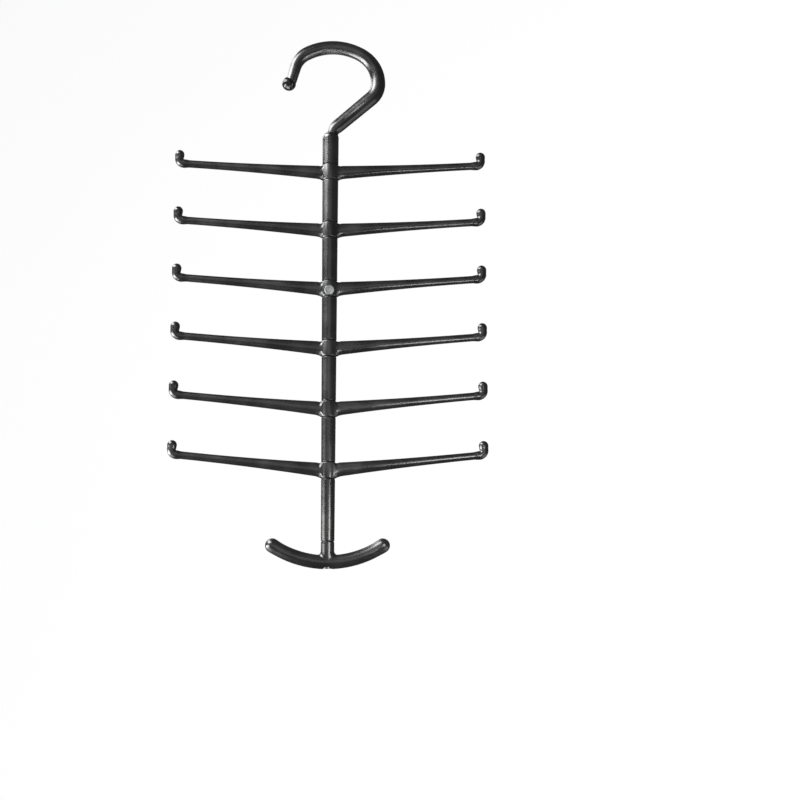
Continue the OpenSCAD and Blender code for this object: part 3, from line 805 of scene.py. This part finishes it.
sweep = new_object(bowl())
paper, tree, shader = new_material("white_sweep")
grain = noise(tree, add(tree, "TexCoord").outputs["Object"], 3.0)
white = blend_colours(tree, grain, (0.90, 0.90, 0.90), (0.93, 0.93, 0.93))
tree.links.new(white, shader.inputs["Base Color"])
shader.inputs["Roughness"].default_value = 0.9
shader.inputs["Emission Color"].default_value = (1, 1, 1, 1)
shader.inputs["Emission Strength"].default_value = 0.85
sweep.data.materials.append(paper)
sweep.visible_glossy = sweep.visible_diffuse = sweep.visible_shadow = False
print("the sweep has", len(sweep.data.polygons), "faces")


# %% Lights
def standing(right, up, back, at):
    """The matrix of a thing at a point whose own x, y and z run along the three directions."""
    return Matrix([(*row, p) for row, p in zip(np.stack([right, up, back], 1), at)] + [(0, 0, 0, 1)])


def soft_light(name, at, aim, width, height, brightness):
    """An area light whose face has the given brightness: power = brightness * pi * area."""
    data = bpy.data.lights.new(name, "AREA")
    data.shape, data.size, data.size_y = "RECTANGLE", width, height
    data.energy = brightness * np.pi * width * height
    obj = bpy.data.objects.new(name, data)
    bpy.context.scene.collection.objects.link(obj)
    back = np.array(at, float) - np.array(aim, float)
    back /= np.linalg.norm(back)
    right = np.cross((0, 0, 1) if abs(back[2]) < 0.95 else (0, 1, 0), back)
    right /= np.linalg.norm(right)
    obj.matrix_world = standing(right, np.cross(back, right), back, at)
    obj.visible_camera = False


middle, upper = (0, 0, -0.215), (0, 0, -0.1)
soft_light("left_upper", (-1.10, -0.45, 0.79), upper, 1.2, 0.80, 7.4)
soft_light("left_back", (-0.95, 0.75, 0.75), upper, 0.9, 0.7, 3.4)
soft_light("front_left_upper", (-0.50, -1.15, 0.75), upper, 0.45, 0.6, 0.9)
soft_light("left_lower", (-1.20, -0.08, -0.62), (0, 0, -0.35), 1.3, 0.5, 7.6)
soft_light("right_lower", (0.135, -0.23, -0.405), (0, 0, -0.39), 0.085, 0.10, 5.4)
soft_light("front_fill", (0.0, -2.2, -0.1), middle, 1.6, 1.4, 0.22)
soft_light("back_fill", (0.0, 2.2, 0.1), middle, 1.8, 1.4, 0.5)
soft_light("card_below_left", (-0.85, -0.12, -0.95), (-0.1, -0.1, 0), 1.1, 0.7, 1.6)
soft_light("card_below_right", (0.85, -0.12, -0.95), (0.1, -0.1, 0), 1.1, 0.7, 0.7)
soft_light("card_under_hook", (-0.053, -0.004, -0.088), (-0.053, -0.004, 0.05), 0.052, 0.05, 4.6)
soft_light("card_in_hook", (0.022, -0.030, -0.045), (-0.012, 0, 0.005), 0.014, 0.020, 4.0)
print("lights:", [light.name for light in bpy.data.lights])

world = bpy.data.worlds.new("dim_room")
world.use_nodes = True
world.node_tree.nodes["Background"].inputs["Color"].default_value = (0.08, 0.08, 0.082, 1)
bpy.context.scene.world = world
bpy.context.scene.view_settings.view_transform = "Standard"

# %% [markdown]
# ## The camera
# It stands where the photograph was taken from: a little over a metre in front of the hanger and about
# half a metre below the hook, looking up. Its turns and its lens were fitted to the tiers and the tips.

# %% Camera
yaw, pitch, roll = np.radians([1.689, 9.74, -0.075])
ahead = np.array([np.sin(yaw) * np.cos(pitch), np.cos(yaw) * np.cos(pitch), np.sin(pitch)])
level = np.array([np.cos(yaw), -np.sin(yaw), 0.0])
upright = np.cross(level, ahead)
right = np.cos(roll) * level + np.sin(roll) * upright
up = np.cos(roll) * upright - np.sin(roll) * level
eye = (0.0255, -1.0996, -0.4865)
lens = bpy.data.cameras.new("camera")
lens.lens, lens.sensor_width, lens.clip_end = 61.77, 36.0, 50.0
camera = bpy.data.objects.new("camera", lens)
bpy.context.scene.collection.objects.link(camera)
camera.matrix_world = standing(right, up, -ahead, eye)
bpy.context.scene.camera = camera
print("the camera stands at", eye)
